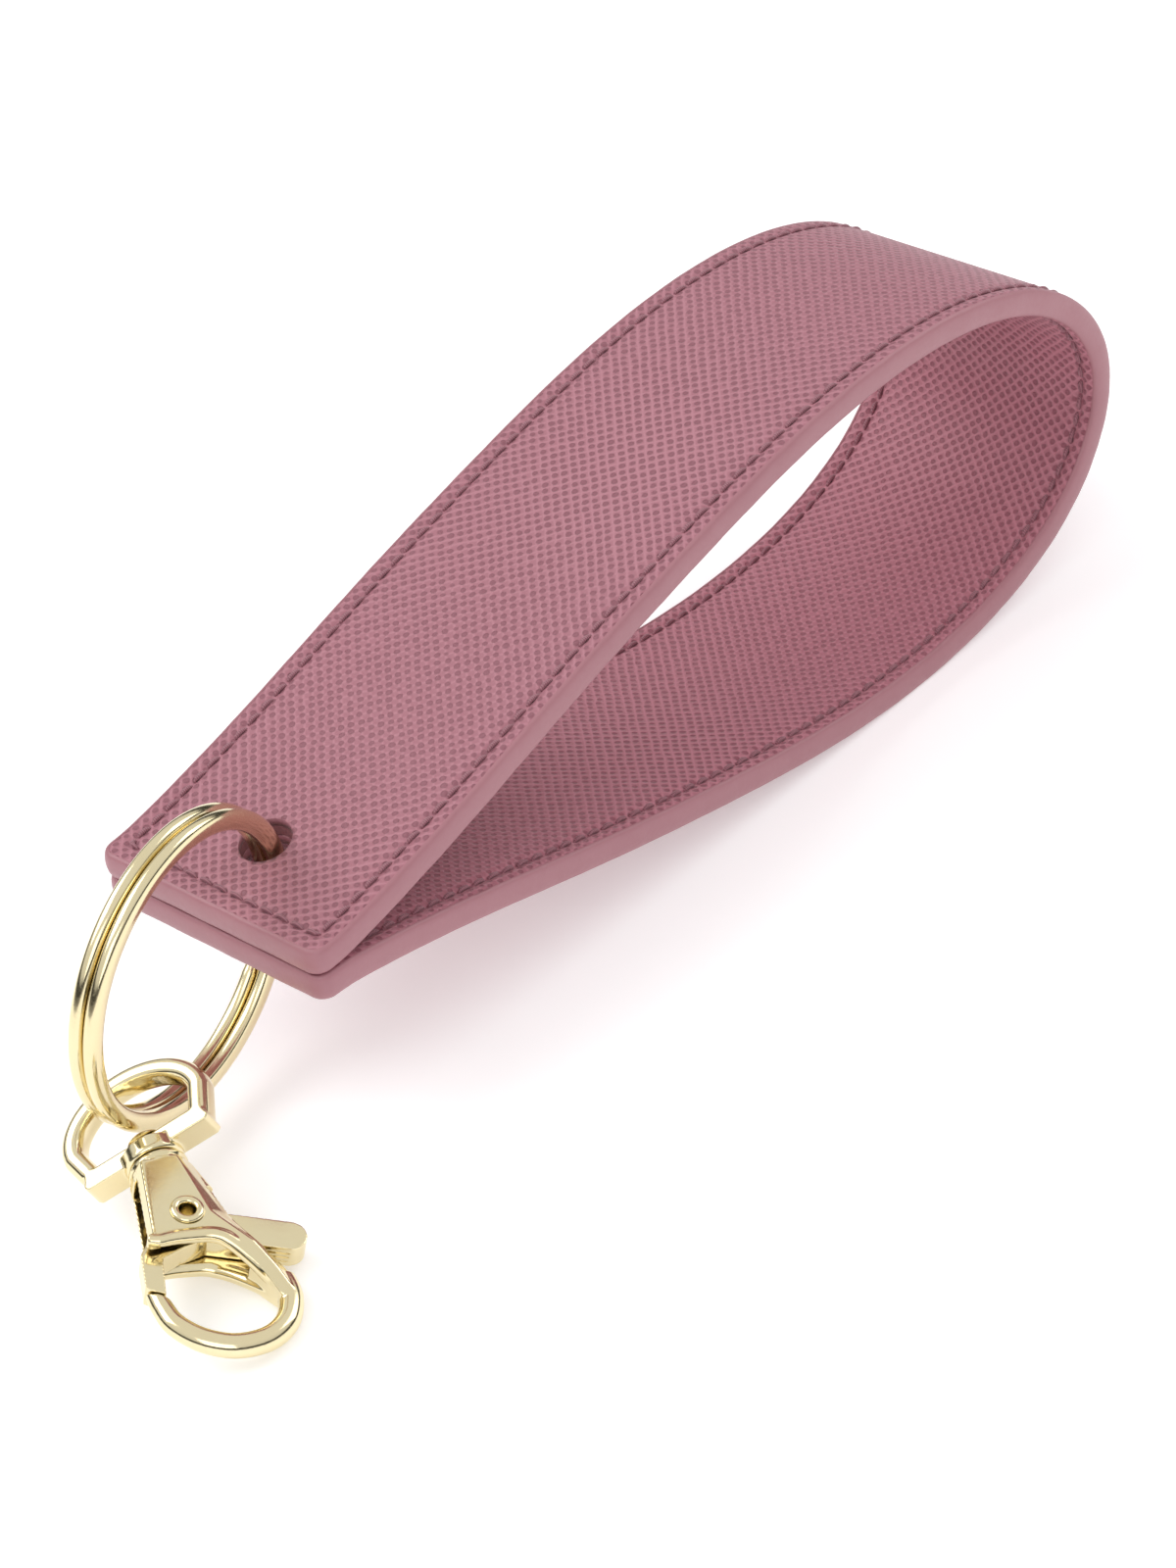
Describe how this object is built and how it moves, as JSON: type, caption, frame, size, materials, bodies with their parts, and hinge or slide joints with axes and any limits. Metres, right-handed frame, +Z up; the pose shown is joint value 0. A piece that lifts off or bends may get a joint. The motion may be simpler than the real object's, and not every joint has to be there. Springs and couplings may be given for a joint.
{
  "type": "wristlet strap key fob",
  "caption": "Sewn saffiano loop strap on a gold split ring, with a swivel snap clasp whose sprung thumb trigger opens the hook",
  "frame": {"origin": "under the middle of the footprint, at the height of the lowest point of the resting strap", "axes": "+X runs along the strap from its stitched ends to the closed end of the loop, +Y across its width, +Z up"},
  "size_m": [0.153, 0.044, 0.0406],
  "materials": {
    "saffiano_pink": "dusty pink cross-hatched saffiano grain, semi-matte",
    "lining_pink": "dusty pink cross-hatched saffiano grain, semi-matte",
    "board": "bonded leather board, hidden",
    "edge_paint": "smooth pink edge paint, satin",
    "thread": "bonded polyester thread",
    "pale_gold": "polished pale gold plating",
    "spring_steel": "bright spring wire"
  },
  "bodies": {
    "strap": {"outer_skin": "saffiano_pink", "stiffener_board": "board", "inner_skin": "lining_pink", "edge_paint": "edge_paint", "needle_thread": "thread", "bobbin_thread": "thread"},
    "ring": {"split_ring": "pale_gold"},
    "eye": {"swivel_eye": "pale_gold"},
    "clasp": {"swivel_rivet": "pale_gold", "clasp_body": "pale_gold", "trigger_rivet": "pale_gold", "trigger_spring": "spring_steel"},
    "trigger": {"trigger": "pale_gold"}
  },
  "joints": [
    {"name": "ring_yaw", "type": "hinge", "parent": "strap", "child": "ring", "pos_m": [-0.03677, 0.00752, 0.02098], "axis": [0, 0, 1], "range_deg": [-40, 35]},
    {"name": "eye_swing", "type": "hinge", "parent": "ring", "child": "eye", "pos_m": [-0.06044, 0.00477, 0.00814], "axis": [0.7796, 0.213, -0.5889], "range_deg": [-25, 25]},
    {"name": "clasp_swivel", "type": "hinge", "parent": "eye", "child": "clasp", "pos_m": [-0.06302, 0.00025, 0.00699], "axis": [-0.4491, -0.8702, -0.2028], "continuous": true},
    {"name": "trigger_press", "type": "hinge", "parent": "clasp", "child": "trigger", "pos_m": [-0.06683, -0.00736, 0.0052], "axis": [0.1093, -0.2788, 0.9541], "range_deg": [0, 30], "stiffness_Nm_per_rad": 0.01, "springref_deg": -28.65}
  ]
}
